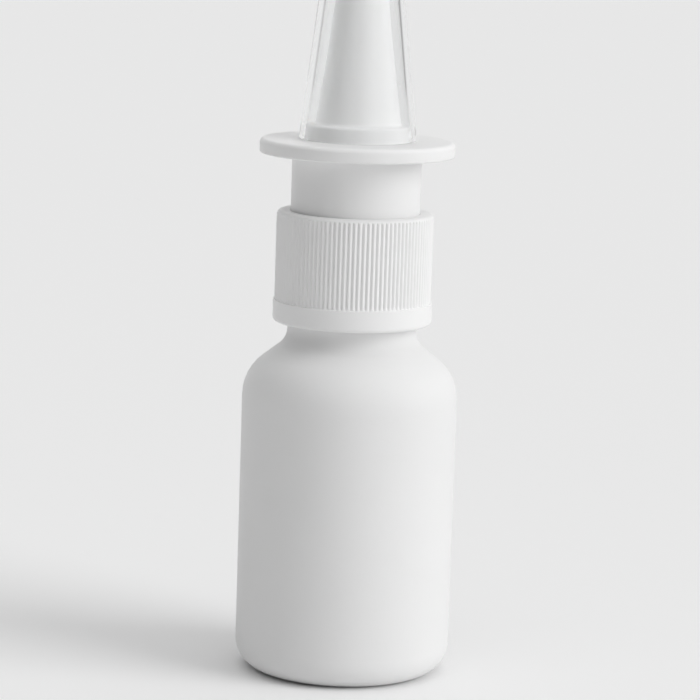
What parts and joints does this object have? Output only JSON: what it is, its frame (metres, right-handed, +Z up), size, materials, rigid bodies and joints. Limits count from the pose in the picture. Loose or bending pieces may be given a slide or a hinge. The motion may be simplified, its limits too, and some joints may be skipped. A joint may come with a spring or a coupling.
{
  "type": "nasal spray bottle",
  "caption": "White pump bottle for nasal liquid, with a ribbed screw closure, a finger-flange actuator on a tapered nozzle, and a clear tapered overcap that pulls off.",
  "frame": {"origin": "on the standing plane, at the bottle's axis", "axes": "+Z up along the bottle's axis towards the nozzle; +X and +Y are any two square directions, because the shape is round"},
  "size_m": [0.03, 0.03, 0.1049],
  "materials": {
    "bottle_white": "satin white polyethylene",
    "closure_white": "satin white polypropylene",
    "actuator_white": "smooth white polypropylene with a soft gloss",
    "natural_plastic": "natural milky polypropylene",
    "tube_plastic": "milky translucent polyethylene",
    "seal_rubber": "matt grey elastomer",
    "stainless_steel": "bright drawn stainless steel",
    "overcap_clear": "clear, polished, colourless"
  },
  "bodies": {
    "bottle": {"bottle": "bottle_white"},
    "pump_unit": {"neck_gasket": "seal_rubber", "stem_seal": "seal_rubber", "pump_housing": "natural_plastic", "turret": "natural_plastic", "ball_cage": "natural_plastic", "dip_tube": "tube_plastic", "return_spring": "stainless_steel"},
    "closure": {"screw_closure": "closure_white"},
    "stem": {"stem": "natural_plastic", "valve_spring": "stainless_steel"},
    "piston": {"piston": "natural_plastic"},
    "ball": {"check_ball": "stainless_steel"},
    "actuator": {"actuator": "actuator_white", "nozzle_core": "natural_plastic", "spray_insert": "actuator_white"},
    "overcap": {"overcap": "overcap_clear"}
  },
  "joints": [
    {"name": "pump_lift", "type": "slide", "parent": "bottle", "child": "pump_unit", "axis": [0, 0, 1], "range_m": [0, 0.00397]},
    {"name": "closure_turn", "type": "hinge", "parent": "pump_unit", "child": "closure", "pos_m": [0, 0, 0.0545], "axis": [0, 0, 1], "range_deg": [0, 450]},
    {"name": "pump_stroke", "type": "slide", "parent": "pump_unit", "child": "stem", "axis": [0, 0, -1], "range_m": [0, 0.004], "stiffness_N_per_m": 1200, "springref_m": -0.0025, "deforming": ["return_spring"]},
    {"name": "piston_slip", "type": "slide", "parent": "stem", "child": "piston", "axis": [0, 0, 1], "range_m": [0, 0.0005], "stiffness_N_per_m": 2500, "springref_m": -0.0006, "deforming": ["valve_spring"]},
    {"name": "ball_lift", "type": "slide", "parent": "pump_unit", "child": "ball", "axis": [0, 0, 1], "range_m": [0, 0.0008]},
    {"name": "actuator_turn", "type": "hinge", "parent": "stem", "child": "actuator", "pos_m": [0, 0, 0.07], "axis": [0, 0, 1], "continuous": true},
    {"name": "cap_pull", "type": "slide", "parent": "actuator", "child": "overcap", "axis": [0, 0, 1], "range_m": [0, 0.032]}
  ],
  "couplings": [
    {"joint": "closure_turn", "follows": "pump_lift", "rad_per_m": 1979}
  ]
}
